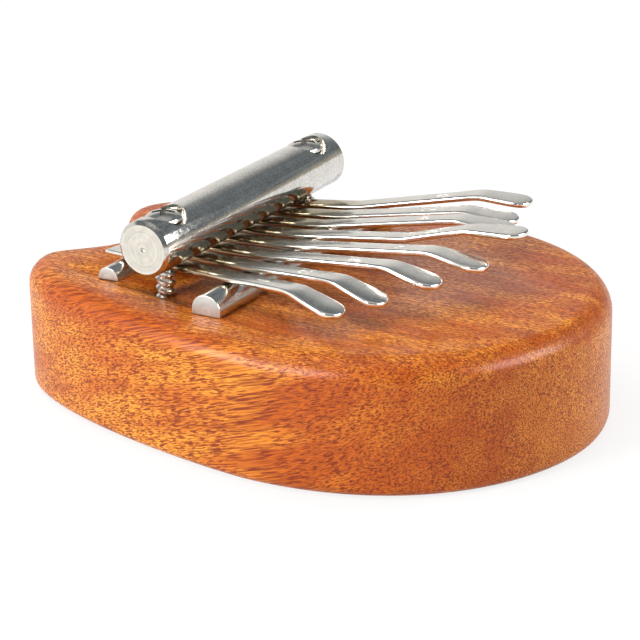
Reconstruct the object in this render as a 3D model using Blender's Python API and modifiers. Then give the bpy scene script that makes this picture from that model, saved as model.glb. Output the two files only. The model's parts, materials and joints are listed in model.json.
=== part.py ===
"""Small eight-tine thumb piano: a lacquered wooden body with a notched top, two half-round bridges,
a screwed-down round pressure bar and a fan of eight flat steel tines.

Metres, +Z up. The origin is under the middle of the body, on its flat underside. X runs across the
tines, the notch is at +Y and the tips of the tines point to -Y.
"""
import math

import bmesh
import bpy
from mathutils import Vector

# Wooden body
BODY_LENGTH = 0.0823
BODY_WIDTH = 0.0624
BODY_THICKNESS = 0.0189
BODY_EDGE_RADIUS = 0.0034
BODY_WIDEST_FROM_TIP = 0.0351
LOBE_SPACING = 0.0238
NOTCH_DEPTH = 0.0070
TIP_FULLNESS = 0.0127
FLANK_FULLNESS_TO_TIP = 0.0252
FLANK_FULLNESS_TO_LOBE = 0.0070
LOBE_FULLNESS_OUTWARD = 0.0130
LOBE_FULLNESS_INWARD = 0.0042
NOTCH_FULLNESS = 0.0055

# Pressure bar
BAR_FROM_LOBES = 0.0269
BAR_DIAMETER = 0.0080
BAR_LENGTH = 0.0474
BAR_CHAMFER = 0.0005

# Half-round bridges
FRONT_BRIDGE_FROM_BAR = 0.0096
FRONT_BRIDGE_RADIUS = 0.0023
FRONT_BRIDGE_HEIGHT = 0.0027
FRONT_BRIDGE_LENGTH = 0.0468
REAR_BRIDGE_FROM_BAR = 0.0102
REAR_BRIDGE_RADIUS = 0.00168
REAR_BRIDGE_HEIGHT = 0.0016
REAR_BRIDGE_LENGTH = 0.0358

# Bar screws
SCREW_FROM_BAR_END = 0.0052
SCREW_THREAD_DIAMETER = 0.0028
SCREW_CORE_DIAMETER = 0.0020
SCREW_THREAD_PITCH = 0.0013
SCREW_HEAD_DIAMETER = 0.0052
SCREW_HEAD_HEIGHT = 0.0018
SCREW_HEAD_EDGE = 0.0007
SCREW_IN_WOOD = 0.0100
SCREW_POINT_LENGTH = 0.0016
RECESS_WIDTH = 0.0008
RECESS_LENGTH = 0.0029
RECESS_DEPTH = 0.0010
HEAD_SINK = 0.0020

# Tines
TINE_FAN_RADIUS = 0.0728307868
TINE_THICKNESS = 0.00085
TINE_WIDTH = 0.0029
PADDLE_WIDTH = 0.0043
PADDLE_ROUND_LENGTH = 0.0030
PADDLE_CORNER_FULLNESS = 0.0018
PADDLE_END_FULLNESS = 0.0012
FLARE_BEFORE_KINK = 0.0035
TINE_BEND_RADIUS = 0.0080
TINE_TAIL = 0.0030

# One row for each tine, from -X to +X. Reaches are measured from the front bridge's crest.
# kink reach, tip reach, rise to the kink, slope of the paddle, reach of a lift, rise after the lift
TINE_SHAPES = (
    (0.0120, 0.0202, math.radians(4.5), math.radians(-12.0), None, None),
    (0.0155, 0.0234, math.radians(4.9), math.radians(-13.0), None, None),
    (0.0203, 0.0282, math.radians(6.8), math.radians(-10.0), None, None),
    (0.0235, 0.0317, math.radians(7.5), math.radians(-7.5), None, None),
    (0.0256, 0.0342, math.radians(7.0), math.radians(4.0), 0.0160, math.radians(15.5)),
    (0.0211, 0.0293, math.radians(9.6), math.radians(-4.5), None, None),
    (0.0192, 0.0269, math.radians(8.2), math.radians(-4.7), None, None),
    (0.0186, 0.0262, math.radians(10.1), math.radians(-4.4), None, None),
)

# Clearances
SEAT_GAP = 0.0003
THREAD_CLEARANCE = 0.0003
BAR_HOLE_CLEARANCE = 0.0004
HEAD_CLEARANCE = 0.00055
TINE_SCREW_CLEARANCE = 0.00039
TONGUE_GAP = 0.0003
CUT_MARGIN = 0.0010
WELD_DISTANCE = 0.00001

# Facets
OUTLINE_STEPS = 14
EDGE_STEPS = 3
BAR_SIDES = 40
BRIDGE_SIDES = 32
SCREW_SIDES = 18
BEND_STEPS = 4
PADDLE_STEPS = 6

# Places worked out from the sizes above
BAR_Y = BODY_LENGTH / 2 - BAR_FROM_LOBES
FRONT_Y = BAR_Y - FRONT_BRIDGE_FROM_BAR
REAR_Y = BAR_Y + REAR_BRIDGE_FROM_BAR
BODY_TOP = BODY_THICKNESS
FRONT_CREST = BODY_TOP + SEAT_GAP + FRONT_BRIDGE_HEIGHT
REAR_CREST = BODY_TOP + SEAT_GAP + REAR_BRIDGE_HEIGHT
TINE_AT_FRONT = FRONT_CREST + SEAT_GAP + TINE_THICKNESS / 2
TINE_AT_REAR = REAR_CREST + SEAT_GAP + TINE_THICKNESS / 2
SHANK_RISE = (TINE_AT_FRONT - TINE_AT_REAR) / (FRONT_BRIDGE_FROM_BAR + REAR_BRIDGE_FROM_BAR)
TINE_AT_BAR = TINE_AT_REAR + SHANK_RISE * REAR_BRIDGE_FROM_BAR
BAR_Z = TINE_AT_BAR + TINE_THICKNESS / 2 + SEAT_GAP + BAR_DIAMETER / 2
HEAD_FLOOR = BAR_Z + BAR_DIAMETER / 2 - HEAD_SINK
HEAD_SEAT = HEAD_FLOOR + SEAT_GAP
SCREW_TIP = BODY_TOP - SCREW_IN_WOOD
SCREW_X = BAR_LENGTH / 2 - SCREW_FROM_BAR_END
TINE_COUNT = len(TINE_SHAPES)
OUTER_TINE_X = SCREW_X - SCREW_THREAD_DIAMETER / 2 - TINE_SCREW_CLEARANCE - TINE_WIDTH / 2
TINE_PITCH_AT_BAR = 2 * OUTER_TINE_X / (TINE_COUNT - 1)
TINE_FAN_STEP = TINE_PITCH_AT_BAR / TINE_FAN_RADIUS

WOOD = ("lacquered_mahogany", (0.42, 0.13, 0.035), 0.28, 0.0)
NICKEL = ("nickel_plate", (0.72, 0.72, 0.70), 0.16, 1.0)
STEEL = ("spring_steel", (0.66, 0.66, 0.67), 0.30, 1.0)


def clear_scene():
    for obj in list(bpy.data.objects):
        bpy.data.objects.remove(obj, do_unlink=True)


def new_collection(name):
    collection = bpy.data.collections.new(name)
    bpy.context.scene.collection.children.link(collection)
    return collection


def material(name, finish):
    """A material of its own for one sub-part: base colour, roughness and metallic value."""
    kind, colour, roughness, metallic = finish
    mat = bpy.data.materials.new(name + "_" + kind)
    mat.use_nodes = True
    shader = mat.node_tree.nodes["Principled BSDF"]
    shader.inputs["Base Color"].default_value = (*colour, 1.0)
    shader.inputs["Roughness"].default_value = roughness
    shader.inputs["Metallic"].default_value = metallic
    return mat


def add_part(name, mesh, finish, parent=None):
    obj = bpy.data.objects.new(name, mesh)
    mesh.materials.clear()
    mesh.materials.append(material(name, finish))
    PARTS.objects.link(obj)
    obj.parent = parent
    return obj


def add_cutter(name, mesh, parent=None):
    obj = bpy.data.objects.new(name, mesh)
    CUTTERS.objects.link(obj)
    obj.parent = parent
    obj.hide_render = True
    obj.display_type = "WIRE"
    return obj


def boolean(obj, cutter, operation="DIFFERENCE"):
    modifier = obj.modifiers.new(operation.lower() + "_" + cutter.name, "BOOLEAN")
    modifier.operation = operation
    modifier.object = cutter
    modifier.solver = "EXACT"


def smooth(mesh, angle=math.radians(30)):
    mesh.shade_smooth()
    mesh.set_sharp_from_angle(angle=angle)


def mesh_from_bmesh(name, bm):
    bmesh.ops.recalc_face_normals(bm, faces=bm.faces[:])
    mesh = bpy.data.meshes.new(name)
    bm.to_mesh(mesh)
    bm.free()
    smooth(mesh)
    return mesh


def cylinder_mesh(name, radius, length, sides, along="Z"):
    bm = bmesh.new()
    bmesh.ops.create_cone(bm, cap_ends=True, segments=sides, radius1=radius, radius2=radius, depth=length)
    if along == "X":
        turn = Vector((0, 0, 1)).rotation_difference(Vector((1, 0, 0))).to_matrix()
        bmesh.ops.rotate(bm, verts=bm.verts, cent=(0, 0, 0), matrix=turn)
    return mesh_from_bmesh(name, bm)


def box_mesh(name, size):
    bm = bmesh.new()
    bmesh.ops.create_cube(bm, size=1.0)
    bmesh.ops.scale(bm, verts=bm.verts, vec=size)
    return mesh_from_bmesh(name, bm)


def mesh_from_curve(name, curve):
    """Makes a filled 2D curve one closed mesh, with its caps welded to its sides."""
    source = bpy.data.objects.new(name + "_curve", curve)
    CUTTERS.objects.link(source)
    bpy.context.view_layer.update()
    evaluated = source.evaluated_get(bpy.context.evaluated_depsgraph_get())
    mesh = bpy.data.meshes.new_from_object(evaluated)
    bpy.data.objects.remove(source, do_unlink=True)
    bpy.data.curves.remove(curve)
    bm = bmesh.new()
    bm.from_mesh(mesh)
    bmesh.ops.remove_doubles(bm, verts=bm.verts[:], dist=WELD_DISTANCE)
    bpy.data.meshes.remove(mesh)
    return mesh_from_bmesh(name, bm)


def bezier_outline(name, anchors, half_height, steps, edge_radius=0.0, edge_steps=0):
    """A closed outline of (point, handle before, handle after), filled and thickened both ways."""
    curve = bpy.data.curves.new(name, "CURVE")
    curve.dimensions = "2D"
    curve.fill_mode = "BOTH"
    curve.resolution_u = steps
    curve.render_resolution_u = steps
    curve.extrude = half_height - edge_radius
    curve.bevel_depth = edge_radius
    curve.bevel_resolution = edge_steps
    curve.offset = -edge_radius
    spline = curve.splines.new("BEZIER")
    spline.bezier_points.add(len(anchors) - 1)
    spline.use_cyclic_u = True
    for knot, (point, before, after) in zip(spline.bezier_points, anchors):
        knot.handle_left_type = "FREE"
        knot.handle_right_type = "FREE"
        knot.co = (*point, 0)
        knot.handle_left = (*before, 0)
        knot.handle_right = (*after, 0)
    return mesh_from_curve(name, curve)


def make_body():
    """The apple-shaped block: a broad round tip, drawn-in flanks, and two lobes with a notch."""
    tip_y = -BODY_LENGTH / 2
    wide_x = BODY_WIDTH / 2
    wide_y = tip_y + BODY_WIDEST_FROM_TIP
    lobe_x = LOBE_SPACING / 2
    lobe_y = BODY_LENGTH / 2
    notch_y = lobe_y - NOTCH_DEPTH
    flank_before = (wide_x, wide_y - FLANK_FULLNESS_TO_TIP)
    flank_after = (wide_x, wide_y + FLANK_FULLNESS_TO_LOBE)
    lobe_before = (lobe_x + LOBE_FULLNESS_OUTWARD, lobe_y)
    lobe_after = (lobe_x - LOBE_FULLNESS_INWARD, lobe_y)
    right = (
        ((wide_x, wide_y), flank_before, flank_after),
        ((lobe_x, lobe_y), lobe_before, lobe_after),
    )
    tip = ((0, tip_y), (-TIP_FULLNESS, tip_y), (TIP_FULLNESS, tip_y))
    notch = ((0, notch_y), (NOTCH_FULLNESS, notch_y), (-NOTCH_FULLNESS, notch_y))
    left = [tuple((-x, y) for x, y in (point, after, before)) for point, before, after in reversed(right)]
    anchors = [tip, *right, notch, *left]
    mesh = bezier_outline(
        "wooden_body", anchors, BODY_THICKNESS / 2, OUTLINE_STEPS, BODY_EDGE_RADIUS, EDGE_STEPS)
    body = add_part("wooden_body", mesh, WOOD)
    body.location.z = BODY_THICKNESS / 2
    hole_depth = SCREW_IN_WOOD + SEAT_GAP
    hole_mesh = cylinder_mesh(
        "pilot_hole", SCREW_THREAD_DIAMETER / 2 + THREAD_CLEARANCE, hole_depth + CUT_MARGIN, SCREW_SIDES)
    for side, x in screw_places():
        hole = add_cutter("pilot_hole_" + side, hole_mesh)
        hole.location = (x, BAR_Y, BODY_TOP + (CUT_MARGIN - hole_depth) / 2)
        boolean(body, hole)


def screw_places():
    return (("left", -SCREW_X), ("right", SCREW_X))


def make_bar():
    """The round bar that presses on the tines, with a counterbored hole near each end."""
    rod = cylinder_mesh("pressure_bar", BAR_DIAMETER / 2, BAR_LENGTH, BAR_SIDES, "X")
    bar = add_part("pressure_bar", rod, NICKEL)
    bar.location = (0, BAR_Y, BAR_Z)
    chamfer = bar.modifiers.new("end_chamfer", "BEVEL")
    chamfer.width = BAR_CHAMFER
    chamfer.segments = 1
    chamfer.limit_method = "ANGLE"
    chamfer.angle_limit = math.radians(60)
    shank_radius = SCREW_THREAD_DIAMETER / 2 + BAR_HOLE_CLEARANCE
    head_radius = SCREW_HEAD_DIAMETER / 2 + HEAD_CLEARANCE
    bore_height = BAR_DIAMETER + 2 * CUT_MARGIN
    sink_height = HEAD_SINK + CUT_MARGIN
    bore_mesh = cylinder_mesh("bar_bore", shank_radius, bore_height, SCREW_SIDES)
    sink_mesh = cylinder_mesh("bar_sink", head_radius, sink_height, SCREW_SIDES)
    for side, x in screw_places():
        bore = add_cutter("bar_bore_" + side, bore_mesh)
        bore.location = (x, BAR_Y, BAR_Z)
        sink = add_cutter("bar_sink_" + side, sink_mesh)
        sink.location = (x, BAR_Y, HEAD_FLOOR + sink_height / 2)
        boolean(bar, bore)
        boolean(bar, sink)


def screw_profile():
    """Half section of a bar screw, top to bottom, with z measured from the underside of its head."""
    head = SCREW_HEAD_DIAMETER / 2
    core = SCREW_CORE_DIAMETER / 2
    crest = SCREW_THREAD_DIAMETER / 2
    crown = SCREW_HEAD_HEIGHT - SCREW_HEAD_EDGE
    points = [(0.0, SCREW_HEAD_HEIGHT)]
    for step in range(1, BEND_STEPS + 1):
        turn = math.pi / 2 * step / BEND_STEPS
        points.append((head * math.sin(turn), SCREW_HEAD_EDGE + crown * math.cos(turn)))
    points.append((head, 0.0))
    points.append((core, 0.0))
    length = HEAD_SEAT - SCREW_TIP
    threaded = length - SCREW_POINT_LENGTH - SCREW_THREAD_PITCH / 2
    turns = int(threaded / SCREW_THREAD_PITCH)
    for turn in range(turns):
        depth = -SCREW_THREAD_PITCH * (turn + 0.5)
        points.append((crest, depth))
        points.append((core, depth - SCREW_THREAD_PITCH / 2))
    points.append((core, SCREW_POINT_LENGTH - length))
    points.append((0.0, -length))
    return points


def make_screws():
    """Two pan-head screws that pull the bar down; the thread is turned as separate ridges."""
    recess_size = (RECESS_LENGTH, RECESS_WIDTH, 2 * RECESS_DEPTH)
    cross_size = (RECESS_WIDTH, RECESS_LENGTH, 2 * RECESS_DEPTH)
    slots = [box_mesh("driver_slot", recess_size), box_mesh("driver_cross", cross_size)]
    for side, x in screw_places():
        bm = bmesh.new()
        verts = [bm.verts.new((radius, 0, z)) for radius, z in screw_profile()]
        for upper, lower in zip(verts, verts[1:]):
            bm.edges.new((upper, lower))
        mesh = bpy.data.meshes.new(side + "_bar_screw")
        bm.to_mesh(mesh)
        bm.free()
        screw = add_part(side + "_bar_screw", mesh, NICKEL)
        screw.location = (x, BAR_Y, HEAD_SEAT)
        turned = screw.modifiers.new("turned", "SCREW")
        turned.axis = "Z"
        turned.steps = SCREW_SIDES
        turned.render_steps = SCREW_SIDES
        turned.use_merge_vertices = True
        turned.merge_threshold = WELD_DISTANCE
        for slot in slots:
            cut = add_cutter(side + "_" + slot.name, slot)
            cut.location = (x, BAR_Y, HEAD_SEAT + SCREW_HEAD_HEIGHT)
            boolean(screw, cut)


def make_bridge(name, radius, height, length, y):
    """A round rod with a flat ground along it, lying flat side down on the wood."""
    bm = bmesh.new()
    bmesh.ops.create_cone(
        bm, cap_ends=True, segments=BRIDGE_SIDES, radius1=radius, radius2=radius, depth=length)
    turn = Vector((0, 0, 1)).rotation_difference(Vector((1, 0, 0))).to_matrix()
    bmesh.ops.rotate(bm, verts=bm.verts, cent=(0, 0, 0), matrix=turn)
    flat_z = radius - height
    geometry = bm.verts[:] + bm.edges[:] + bm.faces[:]
    cut = bmesh.ops.bisect_plane(
        bm, geom=geometry, plane_co=(0, 0, flat_z), plane_no=(0, 0, 1), clear_inner=True)
    rim = [item for item in cut["geom_cut"] if isinstance(item, bmesh.types.BMEdge)]
    bmesh.ops.contextual_create(bm, geom=rim)
    bridge = add_part(name, mesh_from_bmesh(name, bm), NICKEL)
    bridge.location = (0, y, BODY_TOP + SEAT_GAP - flat_z)


def bent_line(corners):
    """Rounds each inner corner of a line of 2D corners with an arc of the bend radius."""
    points = [corners[0]]
    for before, corner, after in zip(corners, corners[1:], corners[2:]):
        arriving = (corner - before).normalized()
        leaving = (after - corner).normalized()
        bend = arriving.angle_signed(leaving)
        reach = TINE_BEND_RADIUS * math.tan(abs(bend) / 2)
        start = corner - arriving * reach
        side = Vector((-arriving.y, arriving.x)) * (1 if arriving.cross(leaving) > 0 else -1)
        centre = start + side * TINE_BEND_RADIUS
        for step in range(BEND_STEPS + 1):
            swing = abs(bend) * step / BEND_STEPS
            points.append(centre - side * TINE_BEND_RADIUS * math.cos(swing)
                          + arriving * TINE_BEND_RADIUS * math.sin(swing))
    points.append(corners[-1])
    return points


def strip_mesh(name, line, width):
    """A flat strip of the tine's thickness whose middle follows a line of (reach, height) points."""
    normals = []
    for before, after in zip([line[0], *line], [*line[1:], line[-1]]):
        along = (after - before).normalized()
        normals.append(Vector((-along.y, along.x)))
    upper = [point + normal * TINE_THICKNESS / 2 for point, normal in zip(line, normals)]
    lower = [point - normal * TINE_THICKNESS / 2 for point, normal in zip(line, normals)]
    rim = upper + lower[::-1]
    curve = bpy.data.curves.new(name, "CURVE")
    curve.dimensions = "2D"
    curve.fill_mode = "BOTH"
    curve.extrude = width / 2
    spline = curve.splines.new("POLY")
    spline.points.add(len(rim) - 1)
    spline.use_cyclic_u = True
    for knot, point in zip(spline.points, rim):
        knot.co = (point.x, point.y, 0, 1)
    mesh = mesh_from_curve(name, curve)
    for vert in mesh.vertices:
        reach, height, across = vert.co
        vert.co = (across, -reach, height)
    bm = bmesh.new()
    bm.from_mesh(mesh)
    bpy.data.meshes.remove(mesh)
    return mesh_from_bmesh(name, bm)


def plan_mesh(name, kink, tip, height):
    """The tongue seen from above: a straight strip that flares into a paddle with a round end."""
    half = TINE_WIDTH / 2
    wide = PADDLE_WIDTH / 2
    root = -TINE_TAIL
    flare = kink - FLARE_BEFORE_KINK
    shoulder = tip - PADDLE_ROUND_LENGTH
    third = (shoulder - flare) / 3
    side = (
        ((half, -root), (half, -root), (half, -root)),
        ((half, -flare), (half, -flare + third), (half, -flare - third)),
        ((wide, -shoulder), (wide, -shoulder + third), (wide, -shoulder - PADDLE_CORNER_FULLNESS)),
    )
    end = ((0, -tip), (PADDLE_END_FULLNESS, -tip), (-PADDLE_END_FULLNESS, -tip))
    other = [tuple((-x, y) for x, y in (point, after, before)) for point, before, after in reversed(side)]
    return bezier_outline(name, [*side, end, *other], height, PADDLE_STEPS)


def make_tine(index, shape):
    """One tine: its clamped shank, and its speaking tongue that swings at the front bridge."""
    kink, tip, rise, droop, lift, lift_rise = shape
    number = str(index + 1)
    fan = TINE_FAN_STEP * (index - (TINE_COUNT - 1) / 2)
    at_bar = TINE_PITCH_AT_BAR * (index - (TINE_COUNT - 1) / 2)
    seat = bpy.data.objects.new("tine_" + number + "_seat", None)
    PARTS.objects.link(seat)
    seat.location = (at_bar + FRONT_BRIDGE_FROM_BAR * math.tan(fan), FRONT_Y, TINE_AT_FRONT)
    seat.rotation_euler.z = fan
    stretch = 1 / math.cos(fan)
    tail = -(FRONT_BRIDGE_FROM_BAR + REAR_BRIDGE_FROM_BAR) * stretch - TINE_TAIL
    shank_slope = SHANK_RISE / stretch
    head = -TONGUE_GAP / 2
    shank_line = [Vector((tail, tail * shank_slope)), Vector((head, head * shank_slope))]
    shank = strip_mesh("shank_" + number, shank_line, TINE_WIDTH)
    add_part("tine_" + number + "_shank", shank, STEEL, seat)
    corners = [Vector((TONGUE_GAP / 2, TONGUE_GAP / 2 * math.tan(rise)))]
    climb = rise
    if lift:
        corners.append(Vector((lift, lift * math.tan(rise))))
        climb = lift_rise
    last = corners[-1]
    corners.append(Vector((kink, last.y + (kink - last.x) * math.tan(climb))))
    last = corners[-1]
    over = tip + CUT_MARGIN
    corners.append(Vector((over, last.y + (over - kink) * math.tan(droop))))
    blank = strip_mesh("tongue_" + number, bent_line(corners), PADDLE_WIDTH + 2 * CUT_MARGIN)
    tongue = add_part("tine_" + number + "_tongue", blank, STEEL, seat)
    plan = add_cutter("tongue_plan_" + number, plan_mesh("tongue_plan_" + number, kink, tip, tip), seat)
    boolean(tongue, plan, "INTERSECT")


clear_scene()
PARTS = new_collection("thumb_piano")
CUTTERS = new_collection("cutters")
make_body()
make_bar()
make_screws()
make_bridge("front_bridge", FRONT_BRIDGE_RADIUS, FRONT_BRIDGE_HEIGHT, FRONT_BRIDGE_LENGTH, FRONT_Y)
make_bridge("rear_bridge", REAR_BRIDGE_RADIUS, REAR_BRIDGE_HEIGHT, REAR_BRIDGE_LENGTH, REAR_Y)
for tine_index, tine_shape in enumerate(TINE_SHAPES):
    make_tine(tine_index, tine_shape)
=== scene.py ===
"""Looks of a small eight-tine thumb piano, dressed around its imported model."""
import json
import math

import bmesh
import bpy
from bpy.props import FloatProperty, FloatVectorProperty, IntProperty, PointerProperty
from mathutils import Matrix, Vector
from mathutils.geometry import interpolate_bezier


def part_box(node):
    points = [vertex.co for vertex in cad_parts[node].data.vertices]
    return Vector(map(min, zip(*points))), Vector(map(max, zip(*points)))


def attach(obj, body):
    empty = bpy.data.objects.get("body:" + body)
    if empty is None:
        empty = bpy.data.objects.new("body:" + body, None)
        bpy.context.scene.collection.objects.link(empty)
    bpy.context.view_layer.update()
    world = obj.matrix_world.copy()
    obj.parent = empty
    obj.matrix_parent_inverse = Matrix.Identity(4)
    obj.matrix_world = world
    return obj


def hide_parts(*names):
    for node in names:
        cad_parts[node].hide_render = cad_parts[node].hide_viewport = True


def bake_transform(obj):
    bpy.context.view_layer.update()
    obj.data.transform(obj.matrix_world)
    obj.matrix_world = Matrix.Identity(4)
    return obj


bl_info = {
    "name": "Thumb Piano Looks",
    "version": (1, 0, 0),
    "blender": (4, 5, 0),
    "location": "View3D > Sidebar > Thumb Piano",
    "description": "Dresses a packed thumb piano with lacquered wood, plated rods and steel tines",
    "category": "Object",
}

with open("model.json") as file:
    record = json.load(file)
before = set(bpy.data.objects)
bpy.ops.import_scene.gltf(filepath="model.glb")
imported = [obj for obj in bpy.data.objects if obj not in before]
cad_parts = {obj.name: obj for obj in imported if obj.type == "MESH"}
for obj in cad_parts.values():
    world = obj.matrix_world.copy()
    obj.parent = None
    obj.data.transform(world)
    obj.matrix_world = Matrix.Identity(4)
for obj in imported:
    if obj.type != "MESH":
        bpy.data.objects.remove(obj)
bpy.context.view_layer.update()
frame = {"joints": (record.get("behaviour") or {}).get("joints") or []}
JOINTS = {joint["name"]: joint for joint in frame["joints"]}

BODY_LOW, BODY_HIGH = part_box("wooden_body")
BAR_LOW, BAR_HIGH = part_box("pressure_bar")
BAR_CENTRE = (BAR_LOW + BAR_HIGH) / 2
BAR_RADIUS = (BAR_HIGH.z - BAR_LOW.z) / 2
SCREW_BOXES = {side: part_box(side + "_bar_screw") for side in ("left", "right")}

WELD_DISTANCE = 0.000001
FLAT_TOLERANCE = 0.00001
GRAIN_CLIMB = math.radians(17)
SCREW_TURN = 0.5  # of the cross recesses, in radians
FONT_SIZE_PER_DIGIT = 1.35  # font size over the height of its digits
# The tines' colour in front of the bar is painted shade and a painted reflection of the wood and
# the bar
PAINTED_SHADE_FROM, PAINTED_SHADE_FULL = 0.012, 0.001  # from the bar: start and full strength of its tint
FLOOR_HALF_WIDTH = 3.0
DOME_FOOT = 0.01  # height of the dome's lower rim

# One row for each tine, from -X to +X, measured from the front bridge's crest:
# kink reach, tip reach, rise to the kink, slope of the paddle, reach of a lift, rise after the lift
TINE_SHAPES = (
    (0.0120, 0.0202, math.radians(4.5), math.radians(-12.0), None, None),
    (0.0155, 0.0234, math.radians(4.9), math.radians(-13.0), None, None),
    (0.0203, 0.0282, math.radians(6.8), math.radians(-10.0), None, None),
    (0.0235, 0.0317, math.radians(7.5), math.radians(-7.5), None, None),
    (0.0256, 0.0342, math.radians(7.0), math.radians(4.0), 0.0160, math.radians(15.5)),
    (0.0211, 0.0293, math.radians(9.6), math.radians(-4.5), None, None),
    (0.0192, 0.0269, math.radians(8.2), math.radians(-4.7), None, None),
    (0.0186, 0.0262, math.radians(10.1), math.radians(-4.4), None, None),
)

# Name, place, width and height, power, and whether the light is only seen mirrored
LIGHTS = (
    ("top_softbox", (-0.05, 0.10, 0.55), (0.45, 0.45), 2.0, False),
    ("left_softbox", (-0.55, 0.25, 0.30), (0.20, 0.35), 3.4, False),
    ("right_softbox", (0.48, -0.42, 0.26), (0.25, 0.30), 2.4, False),
    ("left_panel", (-0.55, 0.25, 0.30), (0.60, 0.32), 7.5, True),
    ("right_panel", (0.10, -0.60, 0.30), (0.50, 0.26), 5.2, True),
)
LIGHT_TARGET = Vector((0, 0, 0.02))


def length_prop(name, description, default):
    return FloatProperty(
        name=name, description=description, default=default, min=0.0, unit="LENGTH", precision=5)


def angle_prop(name, description, degrees):
    return FloatProperty(
        name=name, description=description, default=math.radians(degrees), subtype="ANGLE")


def colour_prop(name, description, default):
    return FloatVectorProperty(
        name=name, description=description, default=default, size=3, min=0.0, max=1.0,
        subtype="COLOR")


class BodyLook(bpy.types.PropertyGroup):
    """Outline and finish of the wooden body."""
    edge_radius: length_prop("Edge radius", "Round along the top edge", 0.0034)
    foot_radius: length_prop("Foot radius", "Round along the bottom edge", 0.0016)
    widest_from_tip: length_prop("Widest from tip", "From the tip to the widest place", 0.0351)
    lobe_spacing: length_prop("Lobe spacing", "Distance between the two lobes", 0.0238)
    notch_depth: length_prop("Notch depth", "Depth of the notch between the lobes", 0.0070)
    tip_fullness: length_prop("Tip fullness", "How broad the round tip is", 0.0127)
    flank_to_tip: length_prop("Flank to tip", "How full the flank is to the tip", 0.0252)
    flank_to_lobe: length_prop("Flank to lobe", "How full the flank is to the lobe", 0.0070)
    lobe_outward: length_prop("Lobe outward", "How broad a lobe is on its outer side", 0.0130)
    lobe_inward: length_prop("Lobe inward", "How broad a lobe is on the notch side", 0.0042)
    notch_fullness: length_prop("Notch fullness", "How broad the bottom of the notch is", 0.0055)
    hole_radius: length_prop("Hole radius", "Radius of the holes for the bar screws", 0.0017)
    pale_wood: colour_prop("Pale wood", "Lightest colour of the grain", (0.87, 0.335, 0.034))
    mid_wood: colour_prop("Mid wood", "Main colour of the grain", (0.53, 0.110, 0.006))
    dark_wood: colour_prop("Dark wood", "Colour of pores and dark streaks", (0.21, 0.029, 0.004))
    # A deeper, redder band along the upper part of the top edge's round
    rim_wood: colour_prop("Rim wood", "Colour of the lacquer's pooled rim", (0.52, 0.098, 0.003))


class RodLook(bpy.types.PropertyGroup):
    """Sizes and finish of the pressure bar, bridges and screws."""
    rim_round: length_prop("Rim round", "Chamfer on the rim of the pressure bar", 0.00055)
    dimple_radius: length_prop("Dimple radius", "Radius of the bar's centre marks", 0.00032)
    pocket_radius: length_prop("Pocket radius", "Radius of the pocket for a screw head", 0.00315)
    pocket_depth: length_prop("Pocket depth", "Depth of the pocket below the bar's top", 0.0020)
    bore_radius: length_prop("Bore radius", "Radius of the hole through the bar", 0.0018)
    front_radius: length_prop("Front bridge radius", "Radius of the front bridge's rod", 0.0023)
    rear_radius: length_prop("Rear bridge radius", "Radius of the rear bridge's rod", 0.00168)
    thread_pitch: length_prop("Thread pitch", "Pitch of the bar screws", 0.0013)
    thread_radius: length_prop("Thread radius", "Outer radius of the screw thread", 0.0014)
    core_radius: length_prop("Core radius", "Radius of the screw under its thread", 0.00098)
    head_height: length_prop("Head height", "Height of the screw head", 0.0018)
    slot_length: length_prop("Slot length", "Length of each slot in the screw head", 0.0031)
    slot_width: length_prop("Slot width", "Width of each slot in the screw head", 0.00075)
    slot_depth: length_prop("Slot depth", "Depth of the slots below the top of the head", 0.0011)
    point_length: length_prop("Point length", "Length of the screw's point", 0.0016)
    thread_end: length_prop("Thread end", "Distance of the thread's end from the tip", 0.0022)
    plate: colour_prop("Plate", "Colour of the nickel plate", (0.68, 0.655, 0.61))
    turned_face: colour_prop("Turned face", "Colour of the matt turned ends", (0.66, 0.625, 0.555))
    # The bridges' ends take a darker copy of the turned ends' colour: painted shade
    shaded_bridge_face: colour_prop("Bridge face", "Colour of the bridges' ends", (0.53, 0.52, 0.49))


class TineLook(bpy.types.PropertyGroup):
    """Sizes and finish of the steel tines."""
    thickness: length_prop("Thickness", "Thickness of the steel", 0.00085)
    width: length_prop("Width", "Width of the strip", 0.0029)
    paddle_width: length_prop("Paddle width", "Width of the flared end", 0.0043)
    paddle_round: length_prop("Paddle round", "Length of the rounded end", 0.0023)
    flare: length_prop("Flare", "Distance before the kink where the flare starts", 0.0035)
    bend_radius: length_prop("Bend radius", "Radius of the bends", 0.0080)
    edge_round: length_prop("Edge round", "Round on the edges of the strip", 0.00032)
    stamp_height: length_prop("Stamp height", "Height of the stamped numbers", 0.0019)
    stamp_relief: length_prop("Stamp relief", "How far the numbers stand out of the steel", 0.00003)
    stamp_stroke: length_prop("Stamp stroke", "Growth of the strokes of the numbers", 0.00006)
    stamp_before_kink: length_prop("Stamp place", "Distance of the numbers before the kink", 0.0055)
    steel: colour_prop("Steel", "Colour of the satin faces", (0.75, 0.72, 0.67))
    # Painted shade and a painted reflection of the wood and the bar, laid on the tines in front of
    # the bar
    beside_bar: colour_prop("Beside bar", "Warm colour of steel by the bar", (0.47, 0.41, 0.29))
    first_number: IntProperty(
        name="First number", description="Number on the first tine", default=1, min=0)


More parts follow.
